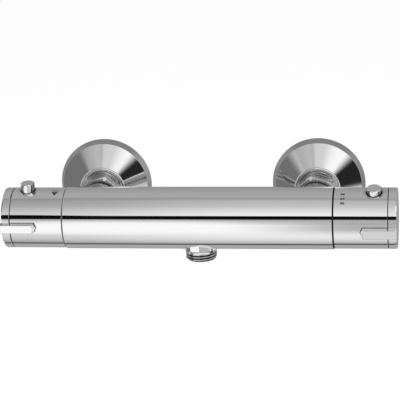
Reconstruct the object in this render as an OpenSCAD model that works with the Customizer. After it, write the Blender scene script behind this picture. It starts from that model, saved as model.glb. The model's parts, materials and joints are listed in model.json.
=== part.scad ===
// Thermostatic bar shower valve, wall mounted, in millimetres.
// +X runs along the bar to the temperature handle, +Y goes into the wall, +Z is up.
// The origin lies on the finished wall, midway between the two wall connections.

/* [Bar] */
// Distance between the two wall connections
inlet_spacing = 150; // [148:0.5:152]
// Distance from the finished wall to the bar's axis
bar_out = 65; // [63:0.5:72]
// Height of the wall connections above the bar's axis
inlet_rise = 4; // [2:0.5:5]
// Length of the fixed middle of the bar
bar_len = 179.4; // [178:0.2:186]
// Radius of the bar
bar_r = 20.75; // [20.6:0.05:22]
// Radius of the inlet bosses at the back of the bar
boss_r = 13.3; // [12.5:0.1:14.5]
// Gap between an inlet boss and its union nut
boss_gap = 2; // [1:0.1:3]
// Radius of the rounded root where a boss leaves the bar
root_r = 1; // [0.8:0.1:1.6]
// Small bevel on the bar's and the handles' edges
edge = 0.5; // [0.2:0.1:0.8]
// Fine bevel where the bar and a handle meet
joint_edge = 0.2; // [0.1:0.1:0.5]

/* [Wall side] */
// Radius of the wall flange
flange_r = 32.3; // [30:0.1:36]
// Depth of the wall flange from the wall to its lip
flange_deep = 16.6; // [15.5:0.1:17]
// Depth of the flange's outer band
flange_band = 5.2; // [3:0.1:6]
// How far the band leans in over its depth
flange_lean = 2.3; // [1:0.1:2.5]
// Wall thickness of the pressed flange
flange_wall = 1.2; // [0.8:0.1:1.4]
// Radius of the flange's lip
lip_r = 15.6; // [15:0.1:16.6]
// How far the lip stands out of the cone
lip_rise = 1.3; // [0.8:0.1:1.6]
// Radius of the thread that enters the wall
wall_thread_r = 10.4775; // [10:0.0005:11]
// Length of the thread that enters the wall
wall_thread_len = 14; // [10:0.5:20]
// Radius of the thread under the union nut
union_r = 13.2; // [13:0.05:13.3]
// Width of the union nut across its flats
nut_flats = 30; // [29.6:0.1:32]
// Length of the union nut
nut_len = 10; // [9.5:0.1:12]
// Turn of the left nut's upper corner, towards the middle
nut_turn_left = 14.5; // [0:0.5:29]
// Turn of the right nut's upper corner, towards the middle
nut_turn_right = 13; // [0:0.5:29]
// Radius of the water way through the union
way_r = 7.8; // [7:0.1:8]

/* [Outlet] */
// Radius of the outlet thread
outlet_r = 10.4775; // [10:0.0005:11]
// Length of the outlet thread
outlet_len = 5.2; // [5:0.1:10]
// How far the flared outlet boss reaches below the bar's axis
outlet_drop = 22.9; // [22.6:0.1:25]
// Radius of the outlet's bore
outlet_bore_r = 7; // [6:0.1:8]

/* [Handles] */
// Radius of both handles
handle_r = 20.25; // [20:0.05:20.6]
// Length of a handle between its two joint lines
handle_len = 35.6; // [34:0.2:38]
// Wall of a handle's shell
handle_wall = 2; // [1.6:0.1:2.4]
// Open joint between the bar and a handle
joint_gap = 0.7; // [0.5:0.1:1]
// Fine joint between a handle and its end cap
cap_gap = 0.35; // [0.2:0.05:0.6]
// Thickness of an end cap
cap_len = 5.7; // [4.5:0.1:7]
// Width of a lever's front face
lever_w = 6.1; // [4:0.1:6.5]
// Radius at which a lever's front face stands
lever_r = 24.8; // [23.5:0.1:28]
// Length of a lever inwards from the cap's joint
lever_len = 18; // [14:0.1:20]
// Bevel of a lever's inner end
lever_bevel = 1.9; // [0.4:0.1:2.5]
// How far a lever's inner end comes to a point
lever_prow = 1.3; // [0.3:0.1:2]
// Angle of the flow lever, up from straight ahead
flow_angle = -1; // [-10:1:10]
// Angle of the temperature lever, up from straight ahead
temp_angle = -9; // [-15:1:5]

/* [Buttons] */
// Distance of a button's axis from the end of its handle's shell
flow_button_in = 10.1; // [9.5:0.1:11.5]
// Distance of the temperature button's axis from the end of its handle's shell
temp_button_in = 9; // [8.5:0.1:10.5]
// Angle of the flow button, up from straight ahead
flow_button_angle = 84; // [75:1:90]
// Angle of the temperature button, up from straight ahead
temp_button_angle = 75; // [68:1:90]
// Radius of the flow button
flow_button_r = 4.65; // [4.3:0.05:5]
// Radius of the temperature button
temp_button_r = 4.95; // [4.6:0.05:5.2]
// How far the flow button stands out of the handle
flow_button_up = 5.2; // [4.5:0.1:6]
// How far the temperature button stands out of the handle
temp_button_up = 3.3; // [3.2:0.1:5]
// Travel of a button when pressed
button_travel = 2.5; // [2:0.1:2.8]

/* [Temperature cartridge] */
// Radius of the bore that takes the temperature cartridge
thermo_bore_r = 14.5; // [14.2:0.05:14.9]
// Where the temperature cartridge's bore begins, from the middle of the bar
thermo_start = 44; // [43:0.5:45]
// Radius of the cartridge's nose
nose_r = 9; // [8.5:0.1:9.3]
// Length of the cartridge's nose
nose_len = 13; // [12:0.5:14]
// Length of the cartridge's wide sleeve
sleeve_len = 40; // [39:0.5:40]
// Wall of the sleeve
sleeve_wall = 2.6; // [2.2:0.1:2.8]
// Half the play that the regulating slide has between its seats
slide_play = 1; // [0.9:0.1:1.4]
// Radius of the wax element
wax_r = 4.6; // [4.2:0.1:5]

/* [Flow cartridge] */
// Radius of the bore that takes the flow cartridge
flow_bore_r = 9.4; // [9.2:0.05:9.6]
// Radius of the flow cartridge's threaded neck
flow_neck_r = 10.4; // [10.2:0.05:10.6]
// Where the flow cartridge's seat lies, from the middle of the bar
flow_start = 42; // [41:0.5:43]
// Thickness of one ceramic disc
disc_t = 3; // [2.6:0.1:3.4]
// Radius of the ceramic discs
disc_r = 7.4; // [7:0.1:7.6]

/* [Spindles] */
// Radius of both spindles
spindle_r = 4; // [3.6:0.1:4.3]
// How far a spindle's end stays inside the end of its handle's shell
spindle_in = 12; // [11:0.5:13]
// Radius of the hub that fits over a spindle
hub_r = 7; // [6.6:0.1:7.4]

/* [Hidden] */
$fn = 96;
// Overrun of every cut
over = 1;
// Clearance of a turning or sliding fit, on the radius
run = 0.05;
// Clearance between seated pieces of one assembly
seat = 0.1;
// Clearance between pieces that pass each other
pass = 0.3;

// Places along the bar, measured out from its middle
half = bar_len / 2;
inlet_x = inlet_spacing / 2;
shell_in = half + joint_gap;
shell_out = shell_in + handle_len - cap_gap;
cap_in = shell_out + cap_gap;
cap_out = cap_in + cap_len;

// Places at an inlet, measured out from the wall
nut_gap = 1.4;
collar_t = 2;
nipple_collar_t = 1.6;
strainer_t = 0.4;
washer_t = 2;
nut_start = flange_deep + nut_gap;
nut_end = nut_start + nut_len;
boss_end = nut_end + boss_gap;
nipple_collar_end = nut_end - collar_t;
nipple_collar_start = nipple_collar_end - nipple_collar_t;
strainer_start = nipple_collar_start - strainer_t;
washer_start = strainer_start - washer_t;
middle_end = nut_start - 4 * seat;
stub_back = 5;
thread_bevel = 1;
nipple_r = 9.7;
nipple_share = 0.68;
nipple_grip = nipple_share * (bar_out - boss_end - thermo_bore_r);
nipple_end = boss_end + nipple_grip;
nipple_bore_r = way_r + seat;
lobes = 3;

// Water ways inside the bar
hot_way_r = 3.4;
hot_way_off = 15.5;
hot_way_in = 8;
mixed_way_r = 5;
out_way_r = 3.5;
out_way_off = 13.5;
out_way_past = 14;
chamber_top = 8;
outlet_grip = 5;
outlet_grip_r = 9.5;
outlet_flare = 2.9;
outlet_seal_t = 1.2;

// Temperature cartridge, measured out from the middle of the bar
nose_start = thermo_start - nose_len;
sleeve_r = thermo_bore_r - seat;
sleeve_in = sleeve_r - sleeve_wall;
sleeve_start = thermo_start + pass;
sleeve_end = thermo_start + sleeve_len;
land = 1.5;
groove = 1.6;
seal_r = 0.95;
seal_w = 2.3;
seal_deep = 1.9;
nose_bore_r = 6;
seat_ring_r = 9.2;
seat_ring_t = 2;
hot_chamber = 12;
slide_start = thermo_start + hot_chamber;
slide_len = 12;
slide_wall = 2;
slide_web = 2;
hot_seat = slide_start - slide_play;
cold_seat = slide_start + slide_len + slide_play;
window_w = 7;
window_len = 2.8;
wax_collar_r = 7;
wax_pin_r = 1.5;
drive_off = 3;
drive_start = cold_seat + drive_off;
drive_len = 5;
drive_r = 9.4;
drive_screw_r = 3.2;
thrust_r = 7.8;
thrust_t = 1.8;
neck_wall = 4;
journal_r = 6;
neck_r = 8.8;
thermo_neck_out = 7;
thermo_neck_end = half + thermo_neck_out;
nut_room = 1.85;
nut_flange_r = handle_r - handle_wall - nut_room;
nut_flange_t = 3;
nut_slot_w = 3;
stop_ring_t = 3.8;
stop_room = 2.85;
stop_ring_r = handle_r - handle_wall - stop_room;
stop_lug_w = 5;
stop_lug_up = 1.6;
glide_room = 1.25;
glide_back = 0.55;
glide_in = handle_r - handle_wall - glide_room;
glide_out = handle_r - glide_back;

// Flow cartridge, measured out from the middle of the bar
seat_seal_t = 2.1;
seat_seal_in = 5.5;
neck_len = 20;
annulus_r = 11.5;
annulus_in = 6;
annulus_start = flow_start + annulus_in;
annulus_len = 12;
disc_hole_r = 2.1;
disc_hole_off = 4.2;
dog_r = 7.1;
dog_t = 1.9;
flow_waist_r = 3.4;
flow_journal_r = 5;
flow_window_w = 7;
flow_hex_flats = 24;
flow_hex_t = 4;
flow_stem_r = 8.2;
fixed_start = flow_start + seat_seal_t + seat;
turning_start = fixed_start + disc_t + run;
dog_start = turning_start + disc_t + run;
chamber_len = 22;
chamber_end = flow_start + chamber_len;
flow_seal_off = 2.4;
flow_seal_at = chamber_end + flow_seal_off;
flow_neck_out = 8;
flow_neck_end = half + flow_neck_out;

// Handles, measured out from the middle of the bar
spindle_end = shell_out - spindle_in;
shell_bore_r = handle_r - handle_wall;
web_out = 9;
web_start = half + web_out;
web_t = 2.5;
hub_in = 5.4;
hub_end = shell_out - hub_in;
head_deep = 4.5;
screw_r = 1.5;
screw_hole_r = 1.8;
screw_head_r = 3.6;
screw_head_t = 2.2;
screw_grip = 8;
spigot_len = 2.6;
spigot_t = 1.9;
lever_lift = 0.25;
lever_root = 15;
lever_edge = 0.4;

// Buttons, measured out from the bar's axis
button_gap = 0.2;
button_well = 0.25;
button_edge = 0.4;
flange_over = 1.1;
flange_gap = 1.3;
flange_top = shell_bore_r - flange_gap;
button_flange_t = 1.3;
button_stem_r = 2;
post_r = 3.5;
post_up = 2;
post_top = hub_r + post_up;
spring_in = 2.35;
spring_wall = 0.85;
stem_end = post_top + button_travel + seat + button_gap;
temp_button_at = shell_out - temp_button_in;
flow_button_at = shell_out - flow_button_in;

// Check valves, measured out from the wall
check_in = 2.6;
check_start = nipple_collar_start + check_in;
check_len = nipple_grip;
check_end = check_start + check_len;
check_bore_r = 6.4;
check_seat_r = 4.6;
check_seat_t = 1.5;
spider_t = 1.6;
spider_w = 1.8;
guide_r = 2.4;
stem_r = 1.1;
poppet_r = 5.6;
poppet_t = 1.8;
check_spring_in = 2.9;

// Moves a shape from the bar's own axis to its place off the wall
module at_bar() {
    translate([0, -bar_out, -inlet_rise])
        children();
}

// One end of the bar: +X points out of that end
module at_end(side) {
    at_bar()
        mirror([side < 0 ? 1 : 0, 0, 0])
            children();
}

// One inlet: +Z points from the wall to the bar, +Y is up
module at_inlet(side) {
    translate([side * inlet_x, 0, -inlet_rise])
        rotate([90, 0, 0])
            children();
}

// Turns [radius, distance] points about the bar's axis
module turned(points) {
    rotate([0, 90, 0])
        rotate_extrude()
            polygon(points);
}

// A plain ring on the bar's axis
module ring(outer, inner, from, to) {
    turned([[inner, from], [outer, from], [outer, to], [inner, to]]);
}

// A plain rod on the bar's axis
module rod(r, from, to) {
    translate([from, 0, 0])
        rotate([0, 90, 0])
            cylinder(r = r, h = to - from);
}

// A ring on the local Z axis
module washer(outer, inner, from, to) {
    translate([0, 0, from])
        difference() {
            cylinder(r = outer, h = to - from);
            translate([0, 0, -over])
                cylinder(r = inner, h = to - from + 2 * over);
        }
}

// A round sealing ring on the bar's axis
module seal(outer, at) {
    translate([at, 0, 0])
        rotate([0, 90, 0])
            rotate_extrude()
                translate([outer - seal_r, 0])
                    circle(r = seal_r, $fn = 32);
}

// A boss on the local Z axis that flares out in a hollow arc at its root
module flared_boss(r, flare, root, reach, tip) {
    rotate_extrude()
        difference() {
            polygon([[0, 0], [r + flare, 0], [r + flare, root + flare], [r, root + flare],
                [r, reach - tip], [r - tip, reach], [0, reach]]);
            translate([r + flare, root + flare])
                circle(r = flare);
        }
}

// Body of the bar

module inlet_boss() {
    rotate([-90, 0, 0])
        flared_boss(boss_r, root_r, bar_r - root_r / 2, bar_out - boss_end, edge);
}

module outlet_boss() {
    rotate([180, 0, 0])
        flared_boss(outlet_r - seat, outlet_flare, outlet_drop - outlet_flare - seat, outlet_drop, seat);
}

module water_ways() {
    // Temperature end
    rod(nose_r, nose_start, thermo_start + over);
    rod(thermo_bore_r, thermo_start, half + over);
    rod(mixed_way_r, -flow_start - over, nose_start + over);
    // Flow end
    mirror([1, 0, 0]) {
        rod(flow_bore_r, flow_start, half + over);
        rod(annulus_r, annulus_start, annulus_start + annulus_len);
        rod(flow_neck_r, half - neck_len, half + over);
    }
    // Hot way along the back, from the left inlet to the temperature cartridge
    translate([0, hot_way_off, 0])
        rod(hot_way_r, -inlet_x, thermo_start + hot_way_in);
    // Mixed water's way along the bottom, from the flow cartridge to the outlet
    translate([0, 0, -out_way_off])
        rod(out_way_r, -flow_start - out_way_past, 0);
    for (side = [-1, 1])
        translate([side * inlet_x, 0, 0])
            rotate([-90, 0, 0]) {
                translate([0, 0, side < 0 ? hot_way_off - hot_way_r : thermo_bore_r / 2])
                    cylinder(r = way_r, h = bar_out);
                translate([0, 0, bar_out - nipple_end - seat])
                    cylinder(r = nipple_r + seat, h = bar_out);
            }
    rotate([180, 0, 0]) {
        translate([0, 0, chamber_top])
            cylinder(r = outlet_bore_r, h = outlet_drop);
        translate([0, 0, outlet_drop - outlet_grip - outlet_seal_t])
            cylinder(r = outlet_grip_r + seat, h = outlet_drop);
    }
}

module valve_body() {
    color("silver")
        at_bar()
            difference() {
                union() {
                    turned([[0, -half], [bar_r - joint_edge, -half], [bar_r, -half + joint_edge],
                        [bar_r, half - joint_edge], [bar_r - joint_edge, half], [0, half]]);
                    for (side = [-1, 1])
                        translate([side * inlet_x, 0, 0])
                            inlet_boss();
                    outlet_boss();
                }
                water_ways();
            }
}

// Outlet

module outlet_nipple() {
    end = outlet_drop + outlet_len;
    bevel = thread_bevel / 2;
    color("silver")
        at_bar()
            rotate([180, 0, 0])
                rotate_extrude()
                    polygon([[outlet_bore_r, outlet_drop - outlet_grip],
                        [outlet_grip_r, outlet_drop - outlet_grip],
                        [outlet_grip_r, outlet_drop],
                        [outlet_r, outlet_drop],
                        [outlet_r, end - bevel],
                        [outlet_r - bevel, end],
                        [outlet_bore_r, end]]);
}

module outlet_seal() {
    color("dimgray")
        at_bar()
            rotate([180, 0, 0])
                washer(outlet_grip_r, outlet_bore_r, outlet_drop - outlet_grip - outlet_seal_t,
                    outlet_drop - outlet_grip);
}

// Wall side

module s_union(side) {
    color("goldenrod")
        at_inlet(side)
            difference() {
                union() {
                    translate([0, inlet_rise, -wall_thread_len])
                        rotate_extrude()
                            polygon([[0, 0], [wall_thread_r - thread_bevel, 0],
                                [wall_thread_r, thread_bevel], [wall_thread_r, wall_thread_len],
                                [union_r, wall_thread_len],
                                [union_r, wall_thread_len + middle_end],
                                [0, wall_thread_len + middle_end]]);
                    translate([0, 0, flange_deep + 2 * seat])
                        cylinder(r = union_r, h = washer_start - flange_deep - 2 * seat);
                }
                translate([0, inlet_rise, -wall_thread_len - over])
                    cylinder(r = way_r, h = wall_thread_len + middle_end - stub_back + 3 * over);
                translate([0, 0, middle_end - stub_back - over])
                    cylinder(r = way_r, h = washer_start - middle_end + stub_back + 2 * over);
            }
}

module wall_flange(side) {
    r0 = flange_r - flange_lean - edge;
    w0 = flange_band + edge;
    r1 = lip_r + edge / 2;
    w1 = flange_deep - lip_rise;
    hold_r = union_r + seat;
    slant = norm([r0 - r1, w1 - w0]);
    nr = (w1 - w0) / slant;
    nw = (r0 - r1) / slant;
    inner = flange_wall * [nr, nw];
    reach = (r0 - inner[0] - hold_r - flange_wall) / (r0 - r1);
    color("silver")
        at_inlet(side)
            translate([0, inlet_rise, 0])
                rotate_extrude()
                    polygon([[flange_r - flange_wall, 0], [flange_r, 0],
                        [flange_r - flange_lean, flange_band], [r0, w0], [r1, w1],
                        [lip_r, flange_deep - edge], [lip_r - edge, flange_deep], [hold_r, flange_deep],
                        [hold_r, flange_deep / 2], [hold_r + flange_wall, flange_deep / 2],
                        [hold_r + flange_wall, w0 - inner[1] + (w1 - w0) * reach],
                        [r0, w0] - inner,
                        [flange_r - flange_lean - flange_wall, flange_band - flange_wall / 2]]);
}

module union_nut(side) {
    turn = side < 0 ? 90 - nut_turn_left : 90 + nut_turn_right;
    corner = nut_flats / sqrt(3);
    slope = (corner - nut_flats / 2) * 0.6;
    color("silver")
        at_inlet(side)
            translate([0, 0, nut_start])
                difference() {
                    intersection() {
                        rotate([0, 0, turn])
                            cylinder(r = corner, h = nut_len, $fn = 6);
                        rotate_extrude()
                            polygon([[0, 0], [nut_flats / 2, 0], [corner + seat, slope],
                                [corner + seat, nut_len - slope], [nut_flats / 2, nut_len], [0, nut_len]]);
                    }
                    translate([0, 0, -over])
                        cylinder(r = union_r + run, h = nut_len - collar_t + over);
                    cylinder(r = nipple_r + seat, h = nut_len + over);
                }
}

module inlet_washer(side) {
    color("dimgray")
        at_inlet(side)
            washer(union_r - seat, way_r, washer_start, strainer_start);
}

module inlet_strainer(side) {
    rows = 3;
    pitch = way_r / (rows + 0.5);
    hole = pitch * 0.3;
    color("lightgray")
        at_inlet(side)
            translate([0, 0, strainer_start])
                difference() {
                    cylinder(r = union_r - seat, h = strainer_t);
                    for (i = [0 : rows])
                        for (k = [0 : max(6 * i - 1, 0)])
                            rotate([0, 0, 60 * k / max(i, 1)])
                                translate([i * pitch, 0, -over])
                                    cylinder(r = hole, h = strainer_t + 2 * over, $fn = 16);
                }
}

module inlet_nipple(side) {
    color("goldenrod")
        at_inlet(side)
            rotate_extrude()
                polygon([[nipple_bore_r, nipple_collar_start], [union_r - seat, nipple_collar_start],
                    [union_r - seat, nipple_collar_end], [nipple_r, nipple_collar_end],
                    [nipple_r, nipple_end - edge], [nipple_r - edge, nipple_end],
                    [nipple_bore_r, nipple_end]]);
}

module check_housing(side) {
    spider = check_end - spider_t;
    color("white")
        at_inlet(side)
            difference() {
                union() {
                    washer(way_r, check_bore_r, check_start, check_end);
                    washer(check_bore_r + seat, check_seat_r, check_start, check_start + check_seat_t);
                    translate([0, 0, spider]) {
                        cylinder(r = guide_r, h = spider_t);
                        for (i = [0 : lobes - 1])
                            rotate([0, 0, 360 * i / lobes])
                                translate([0, -spider_w / 2, 0])
                                    cube([check_bore_r + seat, spider_w, spider_t]);
                    }
                }
                translate([0, 0, spider - over])
                    cylinder(r = stem_r + 2 * run, h = spider_t + 2 * over);
            }
}

module check_poppet(side) {
    start = check_start + check_seat_t + seat;
    color("white")
        at_inlet(side)
            translate([0, 0, start])
                rotate_extrude()
                    polygon([[0, 0], [poppet_r - edge, 0], [poppet_r, edge], [poppet_r, poppet_t],
                        [stem_r, poppet_t], [stem_r, check_end - start], [0, check_end - start]]);
}

module check_spring(side) {
    from = check_start + check_seat_t + seat + poppet_t;
    color("lightgray")
        at_inlet(side)
            washer(check_spring_in + spring_wall, check_spring_in, from, check_end - spider_t);
}

// Temperature cartridge

module sleeve_windows(from) {
    for (a = [45 : 90 : 315])
        rotate([a, 0, 0])
            translate([from, -window_w / 2, 0])
                cube([window_len, window_w, thermo_bore_r]);
}

module thermo_housing() {
    waist = sleeve_r - groove;
    hot_land = slide_start + slide_len / 2 - 2 * land - seal_w / 2;
    cold_land = slide_start + slide_len / 2 + 2 * land + seal_w / 2;
    end_land = sleeve_end - 2 * land - seal_w;
    drive_way = sleeve_end - neck_wall - cold_seat + over;
    color("ivory")
        at_end(1)
            difference() {
                turned([[0, nose_start + pass], [nose_r - seat, nose_start + pass],
                    [nose_r - seat, sleeve_start], [sleeve_r, sleeve_start],
                    [sleeve_r, sleeve_start + land], [waist, sleeve_start + land],
                    [waist, hot_land], [sleeve_r, hot_land],
                    [sleeve_r, cold_land], [waist, cold_land],
                    [waist, end_land], [sleeve_r, end_land],
                    [sleeve_r, sleeve_end], [neck_r, sleeve_end],
                    [neck_r, thermo_neck_end], [0, thermo_neck_end]]);
                rod(nose_bore_r, nose_start - over, slide_start);
                difference() {
                    rod(sleeve_in, sleeve_start + land, cold_seat);
                    ring(sleeve_in + over, seat_ring_r, hot_seat - seat_ring_t, hot_seat);
                }
                // Six-sided way in which the drive slides without turning
                translate([cold_seat - over, 0, 0])
                    rotate([0, 90, 0])
                        cylinder(r = drive_r + seat, h = drive_way, $fn = 6);
                rod(journal_r, sleeve_end - neck_wall - over, thermo_neck_end + over);
                sleeve_windows(hot_seat);
                sleeve_windows(cold_seat - window_len);
                ring(sleeve_r + over, sleeve_r - seal_deep, slide_start + slide_len / 2 - seal_w / 2,
                    slide_start + slide_len / 2 + seal_w / 2);
                ring(sleeve_r + over, sleeve_r - seal_deep, sleeve_end - land - seal_w, sleeve_end - land);
                ring(nose_r + over, nose_r - seat - seal_deep, nose_start + nose_len / 2 - seal_w / 2,
                    nose_start + nose_len / 2 + seal_w / 2);
            }
}

module thermo_seals() {
    color("dimgray")
        at_end(1) {
            seal(thermo_bore_r - seat / 2, slide_start + slide_len / 2);
            seal(thermo_bore_r - seat / 2, sleeve_end - land - seal_w / 2);
            seal(nose_r - seat / 2, nose_start + nose_len / 2);
        }
}

module thermo_slide() {
    web = slide_start + slide_len / 2 - slide_web;
    holes = 6;
    color("ivory")
        at_end(1)
            difference() {
                union() {
                    ring(sleeve_in - 2 * run, sleeve_in - slide_wall, slide_start, slide_start + slide_len);
                    ring(sleeve_in - slide_wall + seat, wax_r + seat, web, web + slide_web);
                }
                for (i = [0 : holes - 1])
                    rotate([360 * i / holes, 0, 0])
                        translate([0, 0, (wax_collar_r + sleeve_in - slide_wall) / 2 + seat])
                            rod(slide_wall / 3, web - over, web + slide_web + over);
            }
}

module wax_element() {
    web = slide_start + slide_len / 2 - slide_web;
    color("peru")
        at_end(1)
            turned([[0, nose_start + nose_len / 2], [wax_r - edge, nose_start + nose_len / 2],
                [wax_r, nose_start + nose_len / 2 + edge], [wax_r, web + slide_web + seat],
                [wax_collar_r, web + slide_web + seat], [wax_collar_r, web + 2 * slide_web],
                [wax_pin_r, web + 2 * slide_web], [wax_pin_r, drive_start - seat],
                [0, drive_start - seat]]);
}

module thermo_return_spring() {
    web = slide_start + slide_len / 2 - slide_web;
    color("lightgray")
        at_end(1)
            ring(nose_bore_r + 2 * spring_wall, nose_bore_r + spring_wall, sleeve_start + land, web);
}

module thermo_drive() {
    color("goldenrod")
        at_end(1)
            difference() {
                translate([drive_start, 0, 0])
                    rotate([0, 90, 0])
                        cylinder(r = drive_r, h = drive_len, $fn = 6);
                rod(drive_screw_r + run, drive_start + edge, drive_start + drive_len + over);
            }
}

module thermo_spindle() {
    thrust_end = sleeve_end - neck_wall - seat;
    color("goldenrod")
        at_end(1)
            difference() {
                turned([[0, drive_start + 2 * slide_play], [drive_screw_r, drive_start + 2 * slide_play],
                    [drive_screw_r, thrust_end - thrust_t], [thrust_r, thrust_end - thrust_t],
                    [thrust_r, thrust_end], [journal_r - run, thrust_end],
                    [journal_r - run, thermo_neck_end - land], [spindle_r, thermo_neck_end - land],
                    [spindle_r, spindle_end], [0, spindle_end]]);
                rod(screw_r + seat, spindle_end - screw_grip - over, spindle_end + over);
            }
}

module thermo_nut() {
    color("goldenrod")
        at_end(1)
            difference() {
                union() {
                    ring(thermo_bore_r - seat, neck_r + seat, sleeve_end + seat, half + seat);
                    ring(nut_flange_r, neck_r + seat, half, half + nut_flange_t);
                }
                for (a = [0 : 90 : 270])
                    rotate([a, 0, 0])
                        translate([half + nut_flange_t / 2, -nut_slot_w / 2, neck_r + nut_slot_w])
                            cube([nut_flange_t, nut_slot_w, nut_flange_r]);
            }
}

// A stop ring with its raised lug
module stop_ring(side, bore, from, up) {
    color("dimgray")
        at_end(side) {
            ring(stop_ring_r, bore, from, from + stop_ring_t);
            rotate([90 - up, 0, 0])
                translate([from, -stop_lug_w / 2, stop_ring_r - stop_lug_up])
                    cube([stop_ring_t, stop_lug_w, 2 * stop_lug_up]);
        }
}

module temp_stop_ring() {
    stop_ring(1, neck_r + seat, half + nut_flange_t + seat, temp_angle + 180);
}

module flow_stop_ring() {
    stop_ring(-1, flow_stem_r + seat, half + flow_hex_t + seat, flow_angle + 180);
}

module glide_ring(side) {
    color("dimgray")
        at_end(side)
            ring(glide_out, glide_in, half, half + joint_gap - seat);
}

// Flow cartridge

module flow_housing() {
    color("goldenrod")
        at_end(-1)
            difference() {
                union() {
                    rod(flow_bore_r - seat, fixed_start, half - neck_len + over);
                    rod(flow_neck_r - seat, half - neck_len + seat, half);
                    translate([half, 0, 0])
                        rotate([0, 90, 0])
                            cylinder(r = flow_hex_flats / sqrt(3), h = flow_hex_t, $fn = 6);
                    rod(flow_stem_r, half, flow_neck_end);
                }
                rod(disc_r + seat, flow_start, chamber_end);
                rod(flow_journal_r + run, chamber_end - over, flow_neck_end + over);
                for (a = [0 : 90 : 270])
                    rotate([a, 0, 0])
                        translate([dog_start + dog_t + seat, -flow_window_w / 2, 0])
                            cube([flow_window_w, flow_window_w, annulus_r]);
                ring(flow_bore_r + over, flow_bore_r - seat - seal_deep, flow_seal_at - seal_w / 2,
                    flow_seal_at + seal_w / 2);
            }
}

module flow_seals() {
    color("dimgray")
        at_end(-1)
            seal(flow_bore_r - seat / 2, flow_seal_at);
}

module flow_seat_seal() {
    color("dimgray")
        at_end(-1)
            ring(flow_bore_r - seat, seat_seal_in, flow_start, flow_start + seat_seal_t);
}

// A ceramic disc with its two ports
module ceramic_disc(from, turn) {
    color("white")
        at_end(-1)
            difference() {
                rod(disc_r, from, from + disc_t);
                for (a = [0, 180])
                    rotate([a + turn, 0, 0])
                        translate([0, 0, disc_hole_off])
                            rod(disc_hole_r, from - over, from + disc_t + over);
            }
}

module flow_fixed_disc() {
    ceramic_disc(fixed_start, 90);
}

module flow_turning_disc() {
    ceramic_disc(turning_start, 0);
}

module flow_spindle() {
    color("goldenrod")
        at_end(-1)
            difference() {
                turned([[0, dog_start], [dog_r, dog_start], [dog_r, dog_start + dog_t],
                    [flow_waist_r, dog_start + dog_t], [flow_waist_r, chamber_end - 2 * dog_t],
                    [dog_r, chamber_end - 2 * dog_t], [dog_r, chamber_end - seat],
                    [flow_journal_r, chamber_end - seat], [flow_journal_r, flow_neck_end - land],
                    [spindle_r, flow_neck_end - land], [spindle_r, spindle_end], [0, spindle_end]]);
                for (a = [0, 180])
                    rotate([a, 0, 0])
                        translate([0, 0, disc_hole_off + disc_hole_r / 2])
                            rod(disc_hole_r, dog_start - over, dog_start + dog_t + over);
                rod(screw_r + seat, spindle_end - screw_grip - over, spindle_end + over);
            }
}

// Handles

// Place of a button: +Z points out through the shell
module at_button(side, along, up) {
    at_end(side)
        translate([along, 0, 0])
            rotate([90 - up, 0, 0])
                children();
}

module handle(side, button_at, up, button_r) {
    well_r = button_r + button_gap + button_well;
    color("silver")
        difference() {
            union() {
                at_end(side)
                    difference() {
                        union() {
                            turned([[shell_bore_r, shell_in], [handle_r - joint_edge, shell_in],
                                [handle_r, shell_in + joint_edge], [handle_r, shell_out - edge / 2],
                                [handle_r - edge / 2, shell_out], [shell_bore_r, shell_out]]);
                            ring(shell_bore_r + seat, 0, web_start, web_start + web_t);
                            rod(hub_r, web_start, hub_end);
                        }
                        rod(spindle_r + seat, web_start - over, spindle_end + seat);
                        rod(screw_hole_r, spindle_end, hub_end);
                        rod(screw_head_r + pass, hub_end - head_deep, hub_end + over);
                    }
                at_button(side, button_at, up)
                    translate([0, 0, hub_r - over])
                        cylinder(r = post_r, h = post_top - hub_r + over);
            }
            at_button(side, button_at, up) {
                translate([0, 0, post_top + over])
                    cylinder(r = button_r + button_gap, h = handle_r);
                translate([0, 0, handle_r - 2 * button_well])
                    cylinder(r1 = button_r + button_gap, r2 = well_r + button_well, h = 2 * button_well);
            }
        }
}

module lever_cap(side, up) {
    lever_in = cap_in - lever_len;
    under = handle_r + lever_lift;
    color("silver")
        at_end(side)
            union() {
                turned([[0, cap_in], [handle_r - edge / 2, cap_in], [handle_r, cap_in + edge / 2],
                    [handle_r, cap_out - 2 * edge], [handle_r - edge / 2, cap_out - edge / 2],
                    [handle_r - 2 * edge, cap_out], [0, cap_out]]);
                ring(shell_bore_r - seat, shell_bore_r - spigot_t, cap_in - spigot_len - cap_gap,
                    cap_in + over);
                rotate([90 - up, 0, 0])
                    intersection() {
                        rotate([90, 0, 0])
                            translate([0, 0, -lever_w / 2])
                                linear_extrude(lever_w)
                                    polygon([[lever_in, under], [lever_in + lever_bevel, lever_r],
                                        [cap_out - lever_edge, lever_r],
                                        [cap_out, lever_r - lever_edge],
                                        [cap_out, lever_root], [cap_in, lever_root], [cap_in, under]]);
                        linear_extrude(lever_r + over)
                            polygon([[lever_in, 0], [lever_in + 2 * lever_prow, lever_w],
                                [cap_out + over, lever_w], [cap_out + over, -lever_w],
                                [lever_in + 2 * lever_prow, -lever_w]]);
                        rotate([90, 0, 90])
                            linear_extrude(cap_out + over)
                                polygon([[-lever_w / 2, 0], [lever_w / 2, 0],
                                    [lever_w / 2, lever_r - lever_edge],
                                    [lever_w / 2 - lever_edge, lever_r],
                                    [lever_edge - lever_w / 2, lever_r],
                                    [-lever_w / 2, lever_r - lever_edge]]);
                    }
            }
}

module handle_screw(side) {
    head = hub_end - head_deep;
    color("lightgray")
        at_end(side)
            difference() {
                turned([[0, spindle_end - screw_grip], [screw_r, spindle_end - screw_grip],
                    [screw_r, head], [screw_head_r, head],
                    [screw_head_r, head + screw_head_t - edge],
                    [screw_head_r - edge, head + screw_head_t], [0, head + screw_head_t]]);
                translate([head + screw_head_t / 2, 0, 0])
                    rotate([0, 90, 0])
                        cylinder(r = screw_r, h = screw_head_t, $fn = 6);
            }
}

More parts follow.
